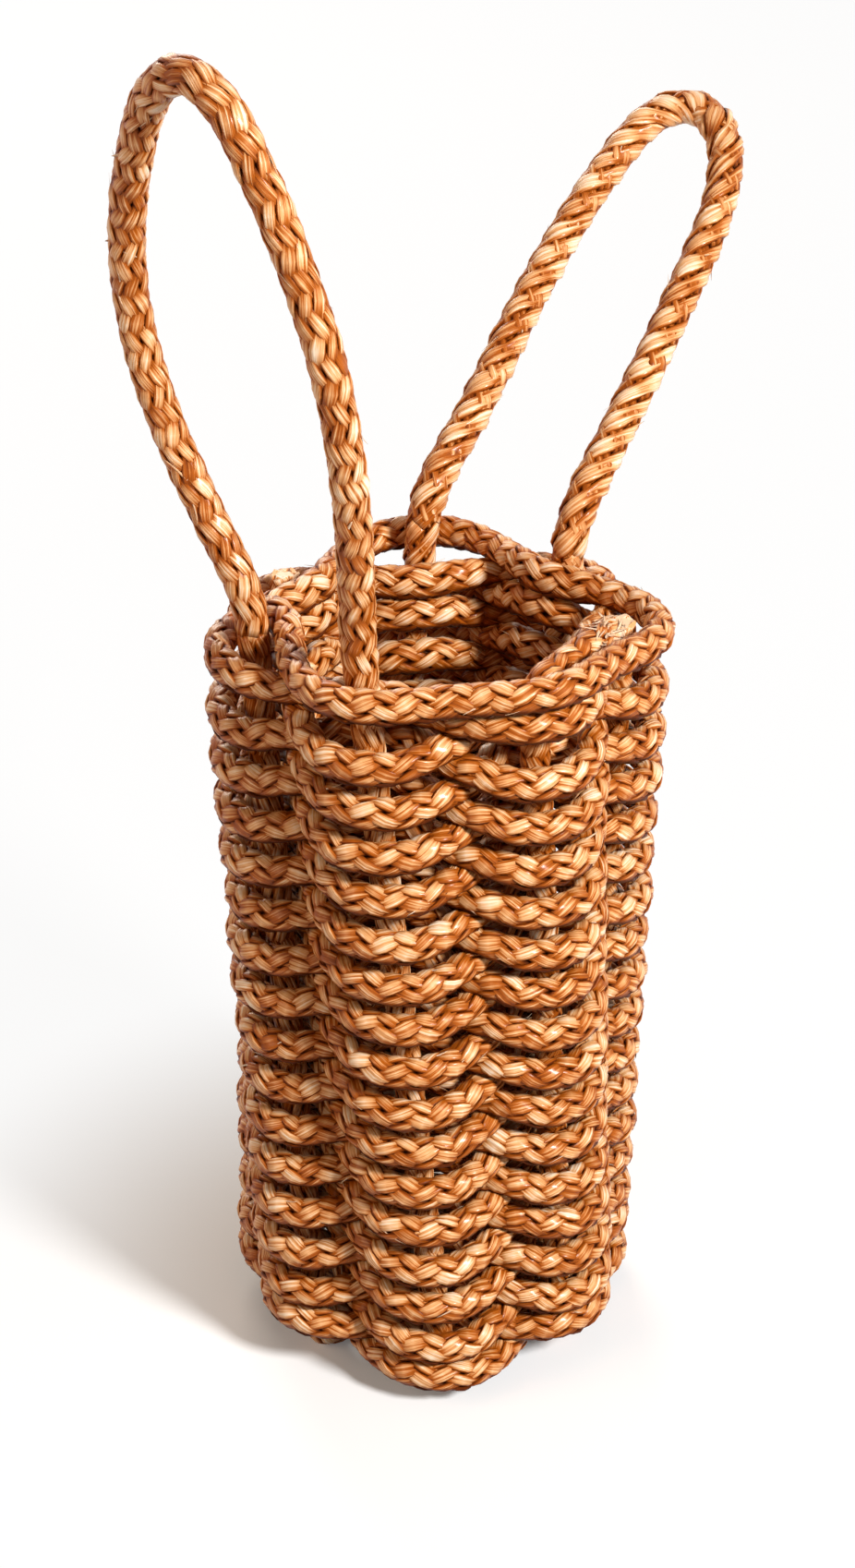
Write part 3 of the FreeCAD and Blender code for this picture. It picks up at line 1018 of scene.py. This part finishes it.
@dataclass
class FloorCoil(RopeWork):
    """The flat coil of rope on the spokes."""

    plan: Plan
    finish: RopeFinish = WALL_FINISH
    plait: Plait = Plait(width=9.6)
    points_per_turn: int = 90

    def build(self, rng: np.random.Generator) -> None:
        """Make the coil.

        Args:
            rng: The source of chance.
        """
        plan = self.plan
        turns = np.linspace(0, plan.coil_turns, int(plan.coil_turns * self.points_per_turn))
        outer = plan.ring_radius - plan.reach - plan.weaver_width - plan.clearance
        radius = outer - (plan.weaver_width + plan.coil_gap) * turns
        angle = math.radians(plan.first_stake_angle) - 2 * math.pi * turns
        height = np.full_like(turns, plan.floor_level + plan.coil_height / 2)
        points = np.stack([radius * np.cos(angle), radius * np.sin(angle), height], axis=-1)
        self.rope = Rope(RopeLine(points, UP), self.plait, rng)
        self.cut_rope(["floor_coil"], [0, self.rope.last_ring])


@dataclass
class PlainStake(RopeWork):
    """A stake that is cut off at the rim, or folded over there with a tail."""

    plan: Plan
    letter: str
    tailed: bool = False
    finish: RopeFinish = STAKE_FINISH
    plait: Plait = Plait(width=9.7)
    frayed_rings: int = 4

    def build(self, rng: np.random.Generator) -> None:
        """Make the stake.

        Args:
            rng: The source of chance.
        """
        route = stake_foot(self.plan, self.letter) + (self._tail() if self.tailed else self._cut_top())
        points = self.plan.in_stake(stake_index(self.letter), np.array(route, float))
        self.rope = Rope(RopeLine(read_spline(points)), self.plait, rng)
        self.cut_rope(["stake_" + self.letter], [0, self.rope.last_ring], GROUND)

    def fibre_room(self) -> tuple[Rope, int, int]:
        """The rope, and the first and last ring of its frayed end."""
        return self.rope, self.rope.last_ring - self.frayed_rings, self.rope.last_ring

    def _cut_top(self) -> list[Place]:
        """The route's end where the stake is cut off, just under the top of the weave.

        Returns:
            The end's point, in the stake's own frame.
        """
        plan = self.plan
        pass_height = plan.weave_top - stake_index(self.letter) * plan.pass_rise
        top = plan.leg_length(pass_height + plan.weaver_span_height / 2 - plan.trim_drop)
        return [(plan.ring_radius, 0, top)]

    def _tail(self) -> list[Place]:
        """The route's end where the stake is folded over towards the next one.

        Returns:
            The end's points, in the stake's own frame.
        """
        plan = self.plan
        angle = math.radians(plan.fold_angle)
        reach = plan.tail_bend * math.tan(angle / 2)
        leg_top = plan.leg_length(plan.weave_top - plan.tail_drop - plan.tail_bend)
        corner = np.array((plan.ring_radius, 0, leg_top + reach))
        heading = np.array((0, math.sin(angle), math.cos(angle)))
        ends = [corner + heading * length for length in (0, 2 * reach, reach + plan.tail_run)]
        return [(plan.ring_radius, 0, leg_top - reach), *map(tuple, ends)]


def stake_index(letter: str) -> int:
    """A stake's number, from its letter."""
    return ord(letter) - ord("a")


def stake_foot(plan: Plan, letter: str) -> list[Place]:
    """The route of a stake's spoke and bend, in the stake's own frame.

    Args:
        plan: The carrier's sizes.
        letter: The stake's letter.

    Returns:
        The route's points, from the middle of the floor to the foot of the leg.
    """
    hub = -plan.core_overreach if letter == "d" else plan.hub_radius
    ring, bend = plan.ring_radius, plan.stake_bend
    return [(hub, 0, 0), (ring - 2 * bend, 0, 0), (ring, 0, 0), (ring, 0, 2 * bend)]


@dataclass
class LoopHandle(RopeWork):
    """A loop handle and the two stakes that it grows out of, which are one rope."""

    plan: Plan
    body: Body
    first: str
    second: str
    height: float
    lean: float
    route_shares: tuple[tuple[float, float], ...]
    plait: Plait
    finish: RopeFinish = HANDLE_FINISH
    stake_finish: RopeFinish = STAKE_FINISH
    leg_width: float = 9.8
    swell_run: float = 30.0
    seam_drop: float = 11.0
    leg_run: float = 24.0
    bend_below: float = 7.0
    bend_above: float = 13.0
    bare_rings: int = 20
    loop_rings: tuple[int, int] = field(init=False)

    def build(self, rng: np.random.Generator) -> None:
        """Make the handle and its two stakes.

        Args:
            rng: The source of chance.
        """
        plan = self.plan
        ends = np.array([stake_index(self.first), stake_index(self.second)], float)
        feet = plan.stake_point(ends, np.full(2, plan.hinge_height))
        span = feet[1] - feet[0]
        outward = np.cross(unit(span), UP)
        lean = math.radians(self.lean)
        upward = np.array(UP) * math.cos(lean) + outward * math.sin(lean)
        loop = [feet[0] + span * x + upward * (y * self.height) for x, y in self.route_shares]
        points = read_spline(np.array([*self._leg(self.first), *loop, *self._leg(self.second)[::-1]]))
        loop_share = np.clip(1 + (points[:, 2] - plan.hinge_height) / self.swell_run, 0, 1)
        leg_share = self.leg_width / self.plait.width
        girth = leg_share + (1 - leg_share) * loop_share
        self.rope = Rope(RopeLine(points, girth=girth), self.plait, rng)

        line = self.rope.line
        seam = plan.hinge_height - self.seam_drop
        cuts = [0, self.rope.ring_at(line.length_at_height(seam, rising=True)),
                self.rope.ring_at(line.length_at_height(seam, rising=False)), self.rope.last_ring]
        self.loop_rings = (cuts[1], cuts[2])
        self.cut_rope(["stake_" + self.first, self.body.value, "stake_" + self.second], cuts, GROUND)

    def dress(self) -> None:
        """Put the stakes on the basket, and give all their finish."""
        hinge = self.plan.hinge_height
        for node, piece in self.pieces.items():
            if node == self.body.value:
                (hinge - self.bend_below) * MM
                (hinge + self.bend_above) * MM
                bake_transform(piece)
                self.finish.dress(piece, node)
            else:
                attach(piece, Body.BASKET.value)
                self.stake_finish.dress(piece, node)

    def fibre_room(self) -> tuple[Rope, int, int]:
        """The rope, and the first and last ring of the loop that loose fibres may stand on."""
        return self.rope, self.loop_rings[0] + self.bare_rings, self.loop_rings[1] - self.bare_rings

    def _leg(self, letter: str) -> np.ndarray:
        """The route of a stake from the floor up to just below the hinge.

        Args:
            letter: The stake's letter.

        Returns:
            The route's points.
        """
        plan = self.plan
        top = plan.leg_length(plan.hinge_height)
        local = stake_foot(plan, letter) + [(plan.ring_radius, 0, top - self.leg_run)]
        return plan.in_stake(stake_index(letter), np.array(local, float))


@dataclass
class LooseFibres:
    """Short fibres that have sprung out of a rope."""

    name: str
    body: Body
    finish: RopeFinish
    count: int
    lengths: tuple[float, float] = (3.5, 9.0)
    widths: tuple[float, float] = (0.35, 0.95)
    lifts: tuple[float, float] = (0.2, 1.6)
    tones: tuple[float, float] = (0.6, 1.0)
    twist: float = 0.9
    root_depth: float = 0.5
    tip_width_share: float = 0.2
    thickness_share: float = 0.45
    stations: int = 6
    piece: bpy.types.Object = field(init=False)

    def build(self, ropes: Sequence[tuple[Rope, int, int]], rng: np.random.Generator) -> None:
        """Scatter the fibres, as one piece.

        Args:
            ropes: Ropes, each with the first and last ring that fibres may stand on.
            rng: The source of chance.
        """
        draft = MeshDraft()
        room = np.array([last - first for _, first, last in ropes], float)
        for _ in range(self.count):
            rope, first, last = ropes[int(rng.choice(len(ropes), p=room / room.sum()))]
            draft.tubes.append(self._fibre(rope, rng.uniform(first, last), rng))
        self.piece = draft.build(self.name)

    def dress(self) -> None:
        """Put the fibres on their body and give them their finish."""
        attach(self.piece, self.body.value)
        self.finish.dress(self.piece)

    def _fibre(self, rope: Rope, ring: float, rng: np.random.Generator) -> Tube:
        """Draw one fibre, from just under the rope's skin to its free tip.

        Args:
            rope: The rope.
            ring: Where the fibre stands, counted in the rope's rings.
            rng: The source of chance.

        Returns:
            The fibre as a tube.
        """
        share = np.linspace(0, 1, self.stations)
        run = rng.uniform(*self.lengths)
        way = rng.choice([-1, 1])
        start = ring * rope.plait.ring_step
        reach = np.clip(start + way * share * run, 0, rope.line.length)
        point, across, upward, squeeze = rope.line.at(reach)
        angle = rng.uniform(0, 2 * math.pi) + way * share * rng.uniform(-self.twist, self.twist)
        root = rope.plait.width / 2 * rope.line.girth_at(reach) - self.root_depth
        radius = root + share ** 2 * rng.uniform(*self.lifts)
        outward = across * np.cos(angle)[:, None] + (upward * squeeze[:, None]) * np.sin(angle)[:, None]
        middle = point + outward * radius[:, None]
        heading = unit(np.gradient(middle, axis=0))
        sideways = unit(np.cross(outward, heading))
        taper = np.sqrt(np.clip(1 + self.tip_width_share ** 2 - share ** 2, 0, 1))
        half_width = rng.uniform(*self.widths) / 2 * taper
        section = np.array([(1.0, 0.0), (0.0, self.thickness_share), (-1.0, 0.0)])
        rings = middle[:, None] + sideways[:, None] * (half_width[:, None] * section[:, 0])[..., None]
        rings = rings + unit(outward)[:, None] * (half_width[:, None] * section[:, 1])[..., None]
        tone = np.full((self.stations, len(section)), rng.uniform(*self.tones))
        return Tube(rings, share * run / CENTIMETRE, tone, tone * 0, rng.uniform(0, STRAND_MAP_ROOM))


@dataclass(frozen=True)
class SoftBox:
    """A soft studio lamp."""

    name: str
    place: Place
    aim: Place
    size: float
    power: float
    colour: Place = (1.0, 1.0, 1.0)

    def build(self) -> None:
        """Hang the lamp and point it."""
        lamp = bpy.data.lights.new(self.name, "AREA")
        lamp.shape = "DISK"
        lamp.size = self.size
        lamp.energy = self.power
        lamp.color = self.colour
        holder = add_object(self.name, lamp)
        holder.location = self.place
        holder.rotation_euler = aim_rotation(self.place, self.aim)
        log.info("%s: %.1f watts", self.name, self.power)


def aim_rotation(place: Place, aim: Place) -> tuple[float, float, float]:
    """The rotation that turns a lamp's own -Z from its place to an aim."""
    x, y, z = np.array(aim, float) - np.array(place, float)
    return (math.atan2(math.hypot(x, y), -z), 0.0, math.atan2(-x, y))


@dataclass(frozen=True)
class Studio:
    """The pale floor, the soft light and the camera."""

    floor_half: float = 24.0
    floor_colour: Colour = (0.95, 0.95, 0.95, 1.0)
    floor_bounce: Colour = (0.45, 0.45, 0.45, 1.0)
    floor_white: float = 0.92
    foot_white: float = 0.1
    foot_reach: tuple[float, float] = (0.05, 0.22)
    sky_colour: Colour = (1.0, 0.88, 0.76, 1.0)
    sky_light: float = 0.10
    lens: float = 75.8
    camera_place: Place = (0.0, -0.935, 0.718)
    camera_pitch: float = 28.91
    camera_yaw: float = 0.14
    camera_nearest: float = 0.05
    lamps: tuple[SoftBox, ...] = field(default=(
        SoftBox("key_softbox", place=(0.98, -0.95, 1.15), aim=(0, 0, 0.22), size=0.36, power=40.0),
        SoftBox("fill_softbox", place=(-1.15, -0.55, 0.75), aim=(0, 0, 0.2), size=0.9, power=6.5,
                colour=(1.0, 0.75, 0.54)),
        SoftBox("back_softbox", place=(-0.5, 1.7, 1.0), aim=(0, 0, 0.2), size=1.0, power=18.0,
                colour=(1.0, 0.88, 0.76)),
    ))

    def build(self) -> None:
        """Set the stage."""
        self._lay_floor()
        self._light_world()
        for lamp in self.lamps:
            lamp.build()
        self._place_camera()
        bpy.context.scene.view_settings.view_transform = "Standard"

    def _lay_floor(self) -> None:
        """Lay a plain floor that is seen white away from the carrier and keeps its shadow near it."""
        half = self.floor_half
        mesh = bpy.data.meshes.new("studio_floor")
        corners = [(-half, -half, 0), (half, -half, 0), (half, half, 0), (-half, half, 0)]
        mesh.from_pydata(corners, [], [(0, 1, 2, 3)])
        floor = add_object("studio_floor", mesh)
        made = bpy.data.materials.new("studio_floor_paper")
        graph = Graph(made)
        seen = self._seen(graph)
        colour = graph.mix(seen, self.floor_bounce, self.floor_colour)
        paper = graph.add("ShaderNodeBsdfDiffuse", {}, {"Color": colour})
        glow = graph.add("ShaderNodeEmission", {}, {"Color": WHITE, "Strength": 1.0})
        place = graph.add("ShaderNodeNewGeometry", {}, {}, "Position")
        away = graph.add("ShaderNodeVectorMath", {"operation": "LENGTH"}, {0: place}, "Value")
        white = graph.fade(away, self.foot_reach, (self.foot_white, self.floor_white))
        mixed = graph.add("ShaderNodeMixShader", {}, {0: seen * white, 1: paper, 2: glow})
        graph.add("ShaderNodeOutputMaterial", {}, {"Surface": mixed})
        mesh.materials.append(made)

    @staticmethod
    def _seen(graph: Graph) -> Signal:
        """Tell the rays that see the background from those that it lights.

        Args:
            graph: The graph of the floor or the world.

        Returns:
            One where the background is seen, straight or in a reflection, and nought elsewhere.
        """
        rays = [graph.add("ShaderNodeLightPath", {}, {}, "Is %s Ray" % kind)
                for kind in ("Camera", "Glossy", "Transmission")]
        return rays[0] + rays[1] + rays[2]

    def _light_world(self) -> None:
        """Light the scene softly all round, against white."""
        world = bpy.data.worlds.new("studio_world")
        graph = Graph(world)
        sky = graph.add("ShaderNodeBackground", {}, {"Color": self.sky_colour, "Strength": self.sky_light})
        white = graph.add("ShaderNodeBackground", {}, {"Color": WHITE, "Strength": 1.0})
        mixed = graph.add("ShaderNodeMixShader", {}, {0: self._seen(graph), 1: sky, 2: white})
        graph.add("ShaderNodeOutputWorld", {}, {"Surface": mixed})
        bpy.context.scene.world = world

    def _place_camera(self) -> None:
        """Place the camera where the photograph was taken from."""
        camera = bpy.data.cameras.new("photo_camera")
        camera.lens = self.lens
        camera.clip_start = self.camera_nearest
        holder = add_object("photo_camera", camera)
        holder.location = self.camera_place
        holder.rotation_euler = (math.radians(90 - self.camera_pitch), 0, math.radians(self.camera_yaw))
        bpy.context.scene.camera = holder


# The loops' routes, in shares of the way from stake to stake and of the loop's height.
NEAR_ROUTE_SHARES = (
    (0.00, 0.000), (-0.25, 0.130), (-0.50, 0.315), (-0.56, 0.500), (-0.39, 0.685), (-0.08, 0.848),
    (0.16, 0.940), (0.48, 1.000), (0.78, 0.973), (0.95, 0.886), (1.11, 0.770), (1.28, 0.576),
    (1.26, 0.360), (1.14, 0.174), (1.00, 0.000),
)
FAR_ROUTE_SHARES = (
    (0.00, 0.000), (-0.06, 0.155), (-0.14, 0.357), (-0.21, 0.565), (-0.25, 0.750), (-0.20, 0.872),
    (-0.07, 0.957), (0.16, 1.000), (0.40, 0.968), (0.54, 0.872), (0.70, 0.680), (0.81, 0.450),
    (0.87, 0.220), (1.00, 0.000),
)

NEAR_PLAIT = Plait(width=11.4, pitch=92.0, strands_each_way=7, strand_width=4.3, strand_depth=1.9, dive=0.36,
                   tone=0.58)
FAR_PLAIT = Plait(width=11.9, pitch=42.0, strands_each_way=4, strand_width=6.6, strand_depth=2.7, dive=0.36,
                  right_proud=0.34, lift_spread=0.3, split_spread=(0.1, 0.5), tone=0.6)


def main() -> None:
    """Build and dress every rope of the carrier, its loose fibres and the studio."""
    logging.basicConfig(level=logging.INFO, format="%(name)s: %(message)s")
    rng = np.random.default_rng(SEED)
    plan = Plan()
    weaver = Weaver(plan)
    tailed = PlainStake(plan, "c", tailed=True)
    near = LoopHandle(plan, Body.NEAR, first="a", second="b", height=183.0, lean=12.0,
                      route_shares=NEAR_ROUTE_SHARES, plait=NEAR_PLAIT)
    far = LoopHandle(plan, Body.FAR, first="e", second="f", height=167.0, lean=54.0,
                     route_shares=FAR_ROUTE_SHARES, plait=FAR_PLAIT)
    for work in (weaver, FloorCoil(plan), tailed, PlainStake(plan, "d"), PlainStake(plan, "g"), near, far):
        work.build(rng)
        work.dress()

    wall_strays = LooseFibres("wall_loose_fibres", Body.BASKET, WALL_FINISH, count=420)
    frayed_end = LooseFibres("tail_frayed_end", Body.BASKET, STAKE_FINISH, count=60,
                             lengths=(4.0, 9.0), widths=(0.7, 1.7), lifts=(0.3, 2.6))
    near_strays = LooseFibres("near_handle_loose_fibres", Body.NEAR, HANDLE_FINISH, count=28)
    far_strays = LooseFibres("far_handle_loose_fibres", Body.FAR, HANDLE_FINISH, count=28)
    for strays, work in ((wall_strays, weaver), (frayed_end, tailed), (near_strays, near), (far_strays, far)):
        strays.build([work.fibre_room()], rng)
        strays.dress()

    Studio().build()


if __name__ == "__main__":
    main()
